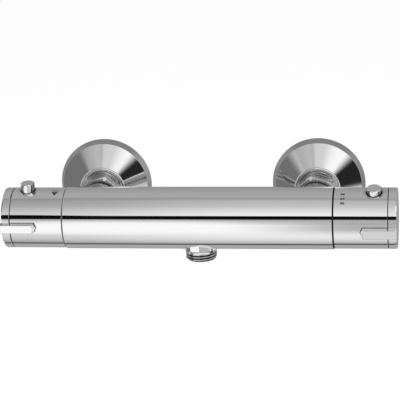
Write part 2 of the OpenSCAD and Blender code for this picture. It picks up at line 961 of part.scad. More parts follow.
module button(side, along, up, r, stand) {
    top = handle_r + stand;
    color("silver")
        at_button(side, along, up)
            rotate_extrude()
                polygon([[0, stem_end], [button_stem_r, stem_end],
                    [button_stem_r, flange_top - button_flange_t],
                    [r + flange_over, flange_top - button_flange_t],
                    [r + flange_over, flange_top], [r, flange_top],
                    [r, top - button_edge], [r - button_edge, top], [0, top]]);
}

module button_spring(side, along, up) {
    color("lightgray")
        at_button(side, along, up)
            washer(spring_in + spring_wall, spring_in, post_top, flange_top - button_flange_t);
}

module s_union_left() { s_union(-1); }
module s_union_right() { s_union(1); }
module wall_flange_left() { wall_flange(-1); }
module wall_flange_right() { wall_flange(1); }
module union_nut_left() { union_nut(-1); }
module union_nut_right() { union_nut(1); }
module inlet_washer_left() { inlet_washer(-1); }
module inlet_washer_right() { inlet_washer(1); }
module inlet_strainer_left() { inlet_strainer(-1); }
module inlet_strainer_right() { inlet_strainer(1); }
module inlet_nipple_left() { inlet_nipple(-1); }
module inlet_nipple_right() { inlet_nipple(1); }
module check_housing_left() { check_housing(-1); }
module check_housing_right() { check_housing(1); }
module check_poppet_left() { check_poppet(-1); }
module check_poppet_right() { check_poppet(1); }
module check_spring_left() { check_spring(-1); }
module check_spring_right() { check_spring(1); }
module temp_glide_ring() { glide_ring(1); }
module flow_glide_ring() { glide_ring(-1); }
module temp_handle() { handle(1, temp_button_at, temp_button_angle, temp_button_r); }
module flow_handle() { handle(-1, flow_button_at, flow_button_angle, flow_button_r); }
module temp_lever_cap() { lever_cap(1, temp_angle); }
module flow_lever_cap() { lever_cap(-1, flow_angle); }
module temp_screw() { handle_screw(1); }
module flow_screw() { handle_screw(-1); }
module temp_button() {
    button(1, temp_button_at, temp_button_angle, temp_button_r, temp_button_up);
}
module flow_button() {
    button(-1, flow_button_at, flow_button_angle, flow_button_r, flow_button_up);
}
module temp_button_spring() { button_spring(1, temp_button_at, temp_button_angle); }
module flow_button_spring() { button_spring(-1, flow_button_at, flow_button_angle); }

valve_body();
outlet_nipple();
outlet_seal();
s_union_left();
s_union_right();
wall_flange_left();
wall_flange_right();
union_nut_left();
union_nut_right();
inlet_washer_left();
inlet_washer_right();
inlet_strainer_left();
inlet_strainer_right();
inlet_nipple_left();
inlet_nipple_right();
check_housing_left();
check_housing_right();
check_poppet_left();
check_poppet_right();
check_spring_left();
check_spring_right();
thermo_housing();
thermo_nut();
thermo_slide();
wax_element();
thermo_drive();
thermo_return_spring();
thermo_spindle();
thermo_seals();
temp_stop_ring();
temp_glide_ring();
flow_housing();
flow_fixed_disc();
flow_turning_disc();
flow_spindle();
flow_seat_seal();
flow_seals();
flow_stop_ring();
flow_glide_ring();
temp_handle();
temp_lever_cap();
temp_screw();
temp_button();
temp_button_spring();
flow_handle();
flow_lever_cap();
flow_screw();
flow_button();
flow_button_spring();
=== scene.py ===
import json
import math
import bmesh
import bpy
from mathutils import Matrix, Vector


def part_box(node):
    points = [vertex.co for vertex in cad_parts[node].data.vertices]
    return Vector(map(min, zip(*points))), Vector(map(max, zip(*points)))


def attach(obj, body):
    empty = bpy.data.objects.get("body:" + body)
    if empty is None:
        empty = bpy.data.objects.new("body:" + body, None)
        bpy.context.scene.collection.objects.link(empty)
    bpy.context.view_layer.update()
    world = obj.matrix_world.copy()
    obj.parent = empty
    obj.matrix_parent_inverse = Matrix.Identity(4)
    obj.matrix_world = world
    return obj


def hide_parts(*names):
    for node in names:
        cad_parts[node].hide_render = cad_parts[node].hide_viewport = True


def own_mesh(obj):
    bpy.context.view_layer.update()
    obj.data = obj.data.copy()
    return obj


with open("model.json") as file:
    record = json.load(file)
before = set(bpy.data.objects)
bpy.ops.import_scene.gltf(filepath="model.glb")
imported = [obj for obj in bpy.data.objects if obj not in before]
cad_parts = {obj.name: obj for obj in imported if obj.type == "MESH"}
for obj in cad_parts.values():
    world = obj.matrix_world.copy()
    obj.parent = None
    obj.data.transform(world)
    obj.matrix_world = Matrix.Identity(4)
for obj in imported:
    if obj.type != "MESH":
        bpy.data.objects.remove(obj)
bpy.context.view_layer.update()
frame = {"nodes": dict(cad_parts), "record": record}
MM = 0.001

# The studio: a long view of the valve from its right and a little above, in an even white room
# whose soft boxes run along the bar. A dark gap between two boxes gives the black line that
# every polished cylinder here carries along its front.
AZIMUTH, ELEVATION, ROLL = (math.radians(a) for a in (8.521, 17.908, -2.595))
AIM, AWAY = Vector((-3.155, -40, 0.2615)) * MM, 1.28696
SENSOR, LENS = 36, 170.225
camera_back = Vector((math.sin(AZIMUTH) * math.cos(ELEVATION), -math.cos(AZIMUTH) * math.cos(ELEVATION),
                      math.sin(ELEVATION)))
level_right = Vector((math.cos(AZIMUTH), math.sin(AZIMUTH), 0))
level_up = camera_back.cross(level_right)
camera_right = math.cos(ROLL) * level_right + math.sin(ROLL) * level_up
camera_up = math.cos(ROLL) * level_up - math.sin(ROLL) * level_right
camera = bpy.data.objects.new("camera", bpy.data.cameras.new("camera"))
bpy.context.scene.collection.objects.link(camera)
turn = Matrix((camera_right, camera_up, camera_back)).transposed().to_4x4()
camera.matrix_world = Matrix.Translation(AIM + camera_back * AWAY) @ turn
camera.data.sensor_width, camera.data.lens = SENSOR, LENS
bpy.context.scene.camera = camera
bpy.context.scene.view_settings.view_transform = "Standard"


class Wire:
    """An output socket of a node tree that can be used in sums, and that makes further nodes."""

    def __init__(self, tree, out=None):
        self.tree, self.out = tree, out

    def node(self, kind, settings=None, out=0, **sockets):
        """A new node. Its settings are set first, then its sockets, by their names or as i0, i1 and so on."""
        made = self.tree.nodes.new(kind)
        for name, value in (settings or {}).items():
            if name == "stops":
                ramp = made.color_ramp
                while len(ramp.elements) > 1:
                    ramp.elements.remove(ramp.elements[0])
                ramp.elements[0].position, ramp.elements[0].color = value[0][0], grey(value[0][1])
                for place, tone in value[1:]:
                    ramp.elements.new(place).color = grey(tone)
            else:
                setattr(made, name, value)
        for name, value in sockets.items():
            numbered = name[0] == "i" and name[1:].isdigit()
            socket = made.inputs[int(name[1:]) if numbered else name.replace("_", " ")]
            if isinstance(value, Wire):
                self.tree.links.new(value.out, socket)
            else:
                socket.default_value = value
        return Wire(self.tree, made.outputs[out] if len(made.outputs) else None)

    def sum(self, operation, a, b=0.0):
        """A Math node with one or two numbers."""
        return self.node("ShaderNodeMath", {"operation": operation}, i0=a, i1=b)

    def parts(self):
        """The x, y and z of this vector."""
        return [self.node("ShaderNodeSeparateXYZ", out=axis, Vector=self) for axis in "XYZ"]

    def __add__(self, other):
        return self.sum("ADD", self, other)

    def __radd__(self, other):
        return self.sum("ADD", other, self)

    def __sub__(self, other):
        return self.sum("SUBTRACT", self, other)

    def __rsub__(self, other):
        return self.sum("SUBTRACT", other, self)

    def __mul__(self, other):
        return self.sum("MULTIPLY", self, other)

    def __rmul__(self, other):
        return self.sum("MULTIPLY", other, self)

    def step(self, low, high):
        """0 below low and 1 above high, smoothly, with low and high either way round."""
        rise = self.node("ShaderNodeMapRange", {"interpolation_type": "SMOOTHSTEP"},
                         Value=self, From_Min=min(low, high), From_Max=max(low, high))
        return rise if low < high else 1 - rise

    def blend(self, other, share):
        """This number turned into the other by a share from 0 to 1."""
        return self + (other - self) * share


def grey(tone):
    """A neutral colour from the tone a screen shows, 0 to 255."""
    share = tone / 255
    level = share / 12.92 if share <= 0.04045 else ((share + 0.055) / 1.055) ** 2.4
    return (level, level, level, 1)


def emptied(owner):
    """The start of the node tree of a material or a world, with nothing in it yet."""
    owner.use_nodes = True
    owner.node_tree.nodes.clear()
    return Wire(owner.node_tree)


def lit(angle, tones, around):
    """The light at an angle from a list of (angle, tone), laid over so many degrees around 0."""
    colour = angle.node("ShaderNodeValToRGB", {"stops": [(a / around + 0.5, tone) for a, tone in tones]},
                        i0=angle * (1 / around) + 0.5)
    return angle.node("ShaderNodeRGBToBW", Color=colour)


def patch(light, level, *edges):
    """The light with a patch of another level, from 0 to 1, inside all its edges. Each edge is a measure
    of the direction, where the patch starts there, and where it is full."""
    return light.blend(level, math.prod(measure.step(start, full) for measure, start, full in edges))


world = bpy.data.worlds.new("studio")
bpy.context.scene.world = world
air = emptied(world)
along, deep, high = air.node("ShaderNodeTexCoord", out="Generated").parts()
# Angles in degrees: the turn about the bar's own direction, from straight ahead up over the top, the
# turn to the right from straight ahead, and the height above the horizon
turned = air.sum("ARCTAN2", high, 0 - deep) * (180 / math.pi)
azimuth = air.sum("ARCTAN2", along, 0 - deep) * (180 / math.pi)
height = air.sum("ARCSINE", high) * (180 / math.pi)
BANDS = [(-180, 152), (-118, 170), (-104, 173), (-101.5, 60), (-96, 60), (-93.5, 172), (-88, 181),
         (-80, 201), (-70, 219), (-52, 235), (-36, 253), (-10, 255), (-2, 248), (2, 232), (8, 195),
         (10.8, 176), (11.9, 10), (24.1, 9), (25.0, 222), (30, 222), (40, 212), (50, 201), (60, 184),
         (72, 176), (80, 173), (87, 164), (92, 149), (100, 169), (116, 170), (124, 166), (155, 153),
         (180, 152)]
# The dark gap is a little wider towards its left end
widened = turned - turned.step(17, 22) * turned.step(48, 30) * along.step(-0.19, -0.235) * 2.6
bands = lit(widened, BANDS, 360)
# Towards the left the boxes above and below the front are a little duller; the light at the gap's
# lower edge and the lower front box change along the bar too, and that box fades to grey on the right
above, below = turned.step(22, 24) * turned.step(97, 86), turned.step(-96, -92) * turned.step(-44, -54)
edge, front = turned.step(-9, -2) * turned.step(13, 8), turned.step(-56, -22) * turned.step(13, -6)
bands = bands * (1 + above * (along.step(-0.235, -0.11) * 0.33 - 0.14))
bands = bands * (1 + below * (along.step(-0.24, -0.11) * 0.23 - 0.17))
bands = bands * (1 - edge * (along.step(-0.2, -0.23) * 0.11 + along.step(-0.155, -0.115) * 0.17))
bands = bands * (1 - front * along.step(-0.135, -0.055) * 0.53)
# Away from the bar's own reflections: a box that fades to the left, a bright box high on the right,
# a grey wall beside and below it, a black flag between them, and another grey wall on the left
FADES = [(-72, 112), (-64, 135), (-52, 172), (-40, 184), (-20, 193)]
bands = patch(bands, lit(azimuth, FADES, 180), (height, 32, 40), (height, 70, 62), (azimuth, -72, -66),
              (along, -0.23, -0.33))
bands = patch(bands, 0.66 + azimuth.step(8, 42) * 0.32, (azimuth, -6, 4), (azimuth, 64, 56),
              (height, 20, 32))
bands = patch(bands, 0.24, (azimuth, 46, 54), (azimuth, 80, 74), (height, 12, 4),
              (height + azimuth, 46, 54))
bands = patch(bands, 0.018, (azimuth, 36, 44), (azimuth, 82, 74), (height + azimuth * 0.45, 55, 43),
              (height + azimuth * 1.6, 88, 95))
bands = patch(bands, 0.165, (azimuth, -53, -64), (azimuth, -92, -88), (height, 62, 50),
              (height, -48, -32))
# Straight to the right and to the left stand the boxes that the two end caps reflect
bands = patch(bands, 0.66, (azimuth, 74, 80), (azimuth, 125, 115), (height, 45, 35), (height, -45, -35))
bands = patch(bands, 0.66, (azimuth, -88, -92), (azimuth, -130, -120), (height, 45, 35), (height, -45, -35))
# The room itself is plain white, and lights the matt pieces evenly
ROOM_LEVEL = 0.72
camera_ray = air.node("ShaderNodeLightPath", out="Is Camera Ray")
diffuse_ray = air.node("ShaderNodeLightPath", out="Is Diffuse Ray")
level = bands.blend(ROOM_LEVEL, diffuse_ray).blend(1.0, camera_ray)
colour = air.node("ShaderNodeCombineColor", Red=level, Green=level, Blue=level)
sky = air.node("ShaderNodeBackground", Color=colour, Strength=1.0)
air.node("ShaderNodeOutputWorld", Surface=sky)

FLOOR_HALF, FLOOR_Z, FLOOR_GLOW = 9, -0.34, 0.93
plane = bpy.data.meshes.new("floor")
corners = ((-1, -1), (1, -1), (1, 1), (-1, 1))
plane.from_pydata([(x * FLOOR_HALF, y * FLOOR_HALF, FLOOR_Z) for x, y in corners], [], [(0, 1, 2, 3)])
floor = bpy.data.objects.new("floor", plane)
bpy.context.scene.collection.objects.link(floor)
floor.visible_glossy = False
paper = bpy.data.materials.new("white_paper")
sheet = emptied(paper)
matt = sheet.node("ShaderNodeBsdfDiffuse", Color=grey(254))
glow = sheet.node("ShaderNodeEmission", Color=(1, 1, 1, 1), Strength=1.0)
seen = sheet.node("ShaderNodeLightPath", out="Is Camera Ray")
paper_face = sheet.node("ShaderNodeMixShader", i0=seen * FLOOR_GLOW, i1=matt, i2=glow)
sheet.node("ShaderNodeOutputMaterial", Surface=paper_face)
floor.data.materials.append(paper)

# Each lamp's place, size and power
LAMPS = {"lamp_high": ((-0.5, -0.9, 1.1), 0.9, 7), "lamp_side": ((1.0, -0.5, 0.7), 0.7, 4),
         "lamp_back": ((0.1, 0.9, 0.9), 0.8, 4)}
for name, (spot, size, power) in LAMPS.items():
    lamp = bpy.data.objects.new(name, bpy.data.lights.new(name, "AREA"))
    bpy.context.scene.collection.objects.link(lamp)
    lamp.location = spot
    lamp.rotation_euler = (-Vector(spot)).to_track_quat("-Z", "Y").to_euler()
    lamp.data.size, lamp.data.energy = size, power
    lamp.visible_glossy = False

# The bar is one brass casting with two inlet bosses at the back and a flared outlet below. It is
# ground, polished and chromed, so it is mirror smooth, with the faint waviness that polishing
# leaves, a trace of haze, and here and there a dried water mark.


def reach(node, axis):
    """The lowest and highest place of a CAD node along axis 0, 1 or 2, in mm."""
    return [round(corner[axis] / MM, 4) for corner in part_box(node)]


# The bar's half length, and its axis, which it shares with the handles
HALF = reach("valve_body", 0)[1]
BAR_Y, BAR_Z = (sum(reach("flow_handle", axis)) / 2 for axis in (1, 2))
# The tones of polished chrome, and the dark tone that painted shade and painted dark reflections give the
# plating
POLISHED, SHADED = 249, 38


def chrome(name, tone, rough, wave, dark=None, duller=0.4):
    """Bright plating of a tone, with waves of a depth in metres. Where dark is given, it takes the place
    point and says how far painted shade darkens the plate there, from 0 to 1, and duller how much rougher it
    gets."""
    made = bpy.data.materials.new(name)
    metal = emptied(made)
    spot = metal.node("ShaderNodeTexCoord", out="Object")
    # Drifting haze, fine wiping marks, the rims of dried water marks, and the waves of the polishing
    haze = metal.node("ShaderNodeTexNoise", Vector=spot, Scale=38.0, Detail=3.0)
    fine = metal.node("ShaderNodeTexNoise", Vector=spot, Scale=900.0, Detail=2.0)
    cells = metal.node("ShaderNodeTexVoronoi", Vector=spot, Scale=210.0, Randomness=1.0)
    water_marks = cells.step(0.06, 0.09) * cells.step(0.14, 0.10) * haze.step(0.60, 0.70)
    waves = metal.node("ShaderNodeTexNoise", Vector=spot, Scale=16.0, Detail=0.0)
    bump = metal.node("ShaderNodeBump", Strength=1.0, Distance=wave, Height=waves)
    colour = grey(tone)
    rough = rough + haze.step(0.35, 0.75) * 0.03 + fine * 0.015 + water_marks * 0.06
    # Painted shade: where dark is given, the plate's colour turns towards the dark tone by its share
    if dark:
        share = dark(spot)
        colour = metal.node("ShaderNodeMix", {"data_type": "RGBA"}, out=2,
                            i0=share, i6=colour, i7=grey(SHADED))
        rough = rough + duller * share
    shine = metal.node("ShaderNodeBsdfPrincipled", Metallic=1.0, Base_Color=colour,
                       Roughness=rough, Normal=bump)
    metal.node("ShaderNodeOutputMaterial", Surface=shine)
    return made


def finish(material, *nodes):
    """Gives CAD nodes their finish."""
    for name in nodes:
        for holder in frame["nodes"][name].material_slots:
            holder.material = material


def in_mm(spot):
    """The x, y and z of a place point, in mm."""
    return [part * (1 / MM) for part in spot.parts()]


def painted_shade_on_casting(spot):
    """Painted shade: part way on the bosses at the back, which are also rougher, having less polish than the
    front, more on the two sides of the outlet as a painted dark reflection, and nearly full on the edge that
    the casting turns to its right joint, as the shade in that joint."""
    x, y, z = in_mm(spot)
    bosses = y.step(-55, -48) * 0.6
    outlet_sides = x.step(-6.8, -7.8) * 0.6 + x.step(6.6, 7.2) * x.step(9.2, 8.5) * 0.85
    joint = x.step(HALF - 0.3, HALF - 0.15) * 0.9
    return bosses + joint + z.step(BAR_Z - 19.8, BAR_Z - 20.4) * outlet_sides


body_chrome = chrome("body_chrome", POLISHED, rough=0.015, wave=0.00004, dark=painted_shade_on_casting)
finish(body_chrome, "valve_body")

# The outlet nipple is a short brass tube, turned and threaded outside for the hose, then plated.
# It is screwed into the bottom of the bar against a soft seal, and only its thread shows.

# A point held this far beside each rounded corner keeps the faces next to it flat.
HOLD_SHARE, HOLD_MOST, EASE_STEPS = 0.2, 0.06, 5


def eased(points):
    """A closed outline of (radius, distance) or (radius, distance, ease), with the eased corners rounded."""
    outline = []
    for i, point in enumerate(points):
        here = Vector(point[:2])
        if len(point) == 2:
            outline.append(tuple(here))
            continue
        back = Vector(points[i - 1][:2]) - here
        on = Vector(points[(i + 1) % len(points)][:2]) - here
        half = back.angle(on) / 2
        setback = min(point[2] / math.tan(half), 0.45 * back.length, 0.45 * on.length)
        back, on = back.normalized(), on.normalized()
        middle = here + (back + on).normalized() * setback / math.cos(half)
        start, end = here + back * setback - middle, here + on * setback - middle
        hold = min(HOLD_SHARE * setback, HOLD_MOST)
        outline.append(tuple(here + back * (setback + hold)))
        outline += [tuple(middle + start.slerp(end, k / EASE_STEPS) * start.length)
                    for k in range(EASE_STEPS + 1)]
        outline.append(tuple(here + on * (setback + hold)))
    return outline


def smoothed(mesh, crease=40):
    """Shades a mesh smooth, but for its edges sharper than crease degrees."""
    mesh.shade_smooth()
    mesh.set_sharp_from_angle(angle=math.radians(crease))


def solid(name, points, faces, body="valve", crease=40):
    """A closed piece from points in mm, smooth but for edges sharper than crease, that rides on a body."""
    mesh = bpy.data.meshes.new(name)
    mesh.from_pydata([Vector(p) * MM for p in points], [], faces)
    form = bmesh.new()
    form.from_mesh(mesh)
    bmesh.ops.recalc_face_normals(form, faces=form.faces)
    form.to_mesh(mesh)
    form.free()
    smoothed(mesh, crease)
    piece = bpy.data.objects.new(name, mesh)
    bpy.context.scene.collection.objects.link(piece)
    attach(piece, body)
    return piece


def lathe(name, rows, centre, axis, body="valve", steps=144, crease=40):
    """A closed ring of rows round an axis: each is (radius, distance), or a function of the angle."""
    ahead = Vector(axis)
    across = Vector((0, 1, 0)) if axis[0] else Vector((1, 0, 0))
    up = ahead.cross(across)
    points, faces = [], []
    for i, row in enumerate(rows):
        for k in range(steps):
            angle = 2 * math.pi * k / steps
            r, far = row(angle) if callable(row) else row
            out = across * math.cos(angle) + up * math.sin(angle)
            points.append(Vector(centre) + ahead * far + out * r)
            m, j = (k + 1) % steps, (i + 1) % len(rows)
            faces.append((i * steps + k, i * steps + m, j * steps + m, j * steps + k))
    return solid(name, points, faces, body, crease)


def dress(piece, material, slot, *nodes):
    """Gives a scene piece its finish, and has it stand for its CAD nodes."""
    piece.data.materials.append(material)
    if nodes:
        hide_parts(*nodes)


# A half inch pipe thread: its pitch, the shares of half a pitch that its crest and its flank take, and
# how steeply its end is bevelled
PITCH, CREST_SHARE, FLANK_SHARE, BEVEL_SLOPE = 1.814, 0.10, 0.80, 0.9
ROWS_A_TURN = 12


def thread(crest, start, end, depth=1.05, run_in=1.2, run_out=0.0, bevel=0.0):
    """Rows of a right-hand pipe thread from start to end, its ends bevelled and its cut fading out."""
    count = max(8, round(abs(end - start) / (PITCH / ROWS_A_TURN)))
    low, high = min(start, end), max(start, end)

    def row(far):
        def place(angle):
            wave = abs(2 * ((far / PITCH - angle / (2 * math.pi)) % 1) - 1)
            cut = min(max((wave - CREST_SHARE) / FLANK_SHARE, 0), 1)
            cut = cut * cut * (3 - 2 * cut)
            fade = min((far - low) / run_in if run_in else 1, (high - far) / run_out if run_out else 1, 1)
            r = crest - depth * cut * max(fade, 0)
            return min(r, crest - bevel + (high - far) * BEVEL_SLOPE) if bevel else r, far
        return place
    return [row(start + (end - start) * k / count) for k in range(count + 1)]


# Painted shade in the outlet thread's grooves starts inside the first of these radii and is nearly full
# inside the second
THREAD_SHADE_FROM_R, THREAD_SHADE_FULL_R = 10.45, 9.8


def painted_shade_in_thread(spot):
    """Painted shade, nearly full at the bottom of the outlet's thread, which also makes the plate rougher
    there.
    """
    x, y = in_mm(spot)[:2]
    far = spot.sum("SQRT", x * x + (y - BAR_Y) * (y - BAR_Y))
    return far.step(THREAD_SHADE_FROM_R, THREAD_SHADE_FULL_R) * 0.9


# Distances here go down from the bar's axis
NIPPLE_FOOT, NIPPLE_TOP = (BAR_Z - z for z in reach("outlet_nipple", 2))
NIPPLE_R = reach("outlet_nipple", 0)[1]
NIPPLE_BORE, NIPPLE_GRIP, FOOT_R, THREAD_TOP, BORE_EASE = 7, 9.5, 9.2, 22.95, 0.25
nipple_chrome = chrome("nipple_chrome", 236, rough=0.06, wave=0.00001, dark=painted_shade_in_thread)
nipple = [(NIPPLE_BORE, NIPPLE_TOP), (NIPPLE_GRIP, NIPPLE_TOP), (NIPPLE_GRIP, THREAD_TOP - 0.2),
          (NIPPLE_GRIP - 0.1, THREAD_TOP - 0.05)]
nipple += thread(NIPPLE_R, THREAD_TOP, NIPPLE_FOOT, run_in=0.5, bevel=0.9)
nipple += [(FOOT_R, NIPPLE_FOOT), (NIPPLE_BORE + BORE_EASE, NIPPLE_FOOT),
           (NIPPLE_BORE, NIPPLE_FOOT - BORE_EASE)]
dress(lathe("outlet_thread", nipple, (0, BAR_Y, BAR_Z), (0, 0, -1)),
      nipple_chrome, "chrome_body", "outlet_nipple")

# The wall unions are cranked brass castings: a pipe thread for the wall, a round middle, and a
# larger thread, set lower, for the union nut. Plating covers what shows between flange and nut.
# Distances here come forward from the wall
INLET_X = sum(reach("wall_flange_right", 0)) / 2
UNION_TO, UNION_FROM = (-y for y in reach("s_union_right", 1))
UNION_R = reach("s_union_right", 0)[1] - INLET_X
PIPE_R, PIPE_TO, WATER_R = NIPPLE_R, -1.2, 7.8
MIDDLE_FROM, MIDDLE_TO, NUT_THREAD_FROM = -0.6, 17.6, 17
CRANKED_AT, OVER = 14.6, 0.5
union_plate = chrome("union_plate", 214, rough=0.12, wave=0.00002)


def carved(piece, operation, tool):
    """Applies a boolean with a second piece, which is then gone."""
    cut = piece.modifiers.new("cut", "BOOLEAN")
    cut.operation, cut.object, cut.solver = operation, tool, "EXACT"
    mesh = bpy.data.meshes.new_from_object(piece.evaluated_get(bpy.context.evaluated_depsgraph_get()))
    piece.modifiers.clear()
    piece.data = mesh
    bpy.data.objects.remove(tool)
    smoothed(mesh)
    return piece


TINY = 0.001


def plug(rows, centre):
    """A closed rod for the booleans, capped at both ends by a tiny ring."""
    ends = [(TINY, (row(0) if callable(row) else row)[1]) for row in (rows[0], rows[-1])]
    return lathe("tool", ends[:1] + rows + ends[1:], centre, (0, -1, 0), steps=120)


for side, x in (("left", -INLET_X), ("right", INLET_X)):
    wall_end = [(9.5, UNION_FROM), (10.0, UNION_FROM + 0.5)]
    wall_end += thread(PIPE_R, UNION_FROM + 0.6, PIPE_TO, run_in=0.3, run_out=1.5)
    wall_end += [(10.6, MIDDLE_FROM), (UNION_R - 0.2, MIDDLE_FROM), (UNION_R, MIDDLE_FROM + 0.2),
                 (UNION_R, MIDDLE_TO - 0.2), (UNION_R - 0.2, MIDDLE_TO)]
    nut_end = [(UNION_R, CRANKED_AT), (UNION_R, NUT_THREAD_FROM - 0.1)]
    nut_end += thread(UNION_R, NUT_THREAD_FROM, UNION_TO - 0.4, run_in=0.4, depth=1.1)
    nut_end += [(UNION_R - 0.7, UNION_TO)]
    union = carved(plug(wall_end, (x, 0, 0)), "UNION", plug(nut_end, (x, 0, BAR_Z)))
    for start, end, z in ((UNION_FROM - OVER, CRANKED_AT, 0), (CRANKED_AT - 3, UNION_TO + OVER, BAR_Z)):
        union = carved(union, "DIFFERENCE", plug([(WATER_R, start), (WATER_R, end)], (x, 0, z)))
    union.name = "cranked_union_" + side
    dress(union, union_plate, "union_brass", "s_union_" + side)

# The wall flanges are spun from thin brass sheet, polished and chromed. Each is a shallow cone with a
# rolled lip that grips the union, and it slides along the union until its rim lies on the tiles.


def painted_reflection_on_rim(spot):
    """Painted dark reflection, half on the flange's outer band, which is also made rougher there for the
    duller polish that the spinning leaves.
    """
    forward = in_mm(spot)[1] * -1
    return forward.step(BAND_DEEP + 0.1, BAND_DEEP - 0.1) * 0.45


RIM_R, LIP_FAR = reach("wall_flange_right", 2)[1], -reach("wall_flange_right", 1)[0]
BAND_DEEP, BAND_LEAN = 5.2, 2.3
flange_chrome = chrome("flange_chrome", POLISHED, rough=0.035, wave=0.00001, dark=painted_reflection_on_rim)
# The rolled lip is an oval bead, flatter in front than at its side, on a sleeve round the union
BEAD_R, BEAD_WIDE, BEAD_HIGH = 13.75, 1.9, 1.0
SLEEVE_R, SLEEVE_FROM, SHEET = 13.3, 8.3, 1.2
BEAD = [(BEAD_R + BEAD_WIDE * math.cos(turn), LIP_FAR - BEAD_HIGH + BEAD_HIGH * math.sin(turn))
        for turn in (math.radians(9 * k) for k in range(10))]
CONE_R, CONE_FAR = 15.95, 15.23
band_r = RIM_R - BAND_LEAN
flange_outline = [(RIM_R - SHEET, 0), (RIM_R, 0, 0.2), (band_r, BAND_DEEP, 0.5), (CONE_R, CONE_FAR),
                  (CONE_R - 0.1, CONE_FAR + 0.07)]
flange_outline += BEAD
flange_outline += [(SLEEVE_R, LIP_FAR, 0.2), (SLEEVE_R, SLEEVE_FROM), (SLEEVE_R + SHEET, SLEEVE_FROM),
                   (SLEEVE_R + SHEET, CONE_FAR - 0.45), (band_r - SHEET, BAND_DEEP - 0.62)]
for side, x in (("left", -INLET_X), ("right", INLET_X)):
    dress(lathe("spun_flange_" + side, eased(flange_outline), (x, 0, 0), (0, -1, 0), steps=256),
          flange_chrome, "chrome_flange", "wall_flange_" + side)

# The union nuts are hexagon brass, 30 mm across the flats, turned and chamfered at both ends and
# plated. Each turns freely on the collar of its inlet neck and pulls it onto the union's thread.


def painted_reflection_on_flats(spot):
    """Painted dark reflection, part way on the nut's six flats, found by their facing sideways, so that they
    show darker than its turned ends.
    """
    forward = spot.sum("ABSOLUTE", spot.node("ShaderNodeNewGeometry", out="Normal").parts()[1])
    return forward.step(0.35, 0.2) * 0.45


nut_chrome = chrome("nut_chrome", POLISHED, rough=0.24, wave=0.00001, dark=painted_reflection_on_flats, duller=0)
NUT_TO, NUT_FROM = (-y for y in reach("union_nut_right", 1))
FLAT_R, NUT_THREAD_R, NUT_BORE, NUT_WALL = 15, 13.25, 9.8, 2
SIXTH, CHAMFER_SLOPE, CORNER_EASE = math.radians(60), 0.6, 0.8


def hexagon(angle, corner_at):
    """How far the outside of the nut is from its middle, with its six corners slightly rounded."""
    off = SIXTH / 2 - abs((angle - corner_at + SIXTH / 2) % SIXTH - SIXTH / 2)
    r = FLAT_R / math.cos(off)
    centre = (FLAT_R - CORNER_EASE) / math.cos(SIXTH / 2)
    ahead, aside = centre * math.cos(SIXTH / 2 - off), centre * math.sin(SIXTH / 2 - off)
    if aside < CORNER_EASE:
        r = min(r, ahead + math.sqrt(CORNER_EASE ** 2 - aside ** 2))
    return r


def chamfer(corner_at, inset, lift, front):
    """A row of the nut near the edge where its chamfer meets its flats."""
    def place(angle):
        r = hexagon(angle, corner_at)
        far = (r - FLAT_R) * CHAMFER_SLOPE + lift
        return r - inset, NUT_TO - far if front else NUT_FROM + far
    return place


# How far each row stands in from the flats and from the chamfer, round the edge between them
EDGE = ((0.22, -0.10), (0.10, -0.04), (0.03, 0.05), (0.0, 0.2), (0.0, 0.35))
for side, x, corner in (("left", -INLET_X, 75.5), ("right", INLET_X, 103)):
    corner_at = math.radians(corner)
    rows = [(NUT_THREAD_R, NUT_FROM + 0.3), (NUT_THREAD_R + 0.3, NUT_FROM), (FLAT_R - 0.4, NUT_FROM),
            (FLAT_R - 0.1, NUT_FROM)]
    rows += [chamfer(corner_at, inset, lift, False) for inset, lift in EDGE]
    rows += [chamfer(corner_at, inset, lift, True) for inset, lift in reversed(EDGE)]
    rows += [(FLAT_R - 0.25, NUT_TO), (FLAT_R - 0.5, NUT_TO), (NUT_BORE + 0.4, NUT_TO),
             (NUT_BORE + 0.2, NUT_TO - 0.06), (NUT_BORE + 0.05, NUT_TO - 0.2), (NUT_BORE, NUT_TO - 0.4),
             (NUT_BORE, NUT_TO - NUT_WALL), (NUT_THREAD_R, NUT_TO - NUT_WALL)]
    dress(lathe("hex_nut_" + side, rows, (x, 0, BAR_Z), (0, -1, 0), steps=360, crease=28),
          nut_chrome, "chrome_nut", "union_nut_" + side)

# Each inlet neck is a plated brass tube, held in its boss by its thread, and its collar sits in the
# union nut on a flat rubber washer with a fine steel strainer. A check valve of white plastic with a
# soft poppet is pressed into it.


def matter(name, colour, rough, metallic, scale, depth, tint):
    """A plain working material: a colour that drifts darker by the share tint, and the grain that its
    making leaves, of a noise scale and a depth in metres."""
    made = bpy.data.materials.new(name)
    stuff = emptied(made)
    spot = stuff.node("ShaderNodeTexCoord", out="Object")
    grain = stuff.node("ShaderNodeTexNoise", Vector=spot, Scale=scale, Detail=4.0)
    drift = stuff.node("ShaderNodeTexNoise", Vector=spot, Scale=scale / 9, Detail=2.0)
    darker = tuple(c * (1 - tint) for c in colour) + (1,)
    shade = stuff.node("ShaderNodeMix", {"data_type": "RGBA"}, out=2, i0=drift.step(0.3, 0.7),
                       i6=tuple(colour) + (1,), i7=darker)
    bump = stuff.node("ShaderNodeBump", Strength=1.0, Distance=depth, Height=grain)
    face = stuff.node("ShaderNodeBsdfPrincipled", Metallic=metallic, Base_Color=shade,
                      Roughness=rough + grain * 0.12, Normal=bump)
    stuff.node("ShaderNodeOutputMaterial", Surface=face)
    return made


neck_plate = chrome("neck_plate", 226, rough=0.08, wave=0.00001)
rubber = matter("black_rubber", (0.03, 0.03, 0.032), 0.55, 0.0, 1500, 0.00003, 0.3)
stainless = matter("stainless", (0.60, 0.60, 0.60), 0.28, 1.0, 1400, 0.00001, 0.1)
check_plastic = matter("check_plastic", (0.83, 0.83, 0.79), 0.4, 0.0, 1200, 0.00001, 0.06)
spring_steel = matter("spring_steel", (0.52, 0.52, 0.54), 0.22, 1.0, 1800, 0.00001, 0.15)
STEPS_A_TURN, STEPS_ROUND, CHECK_LIFT = 28, 10, 3


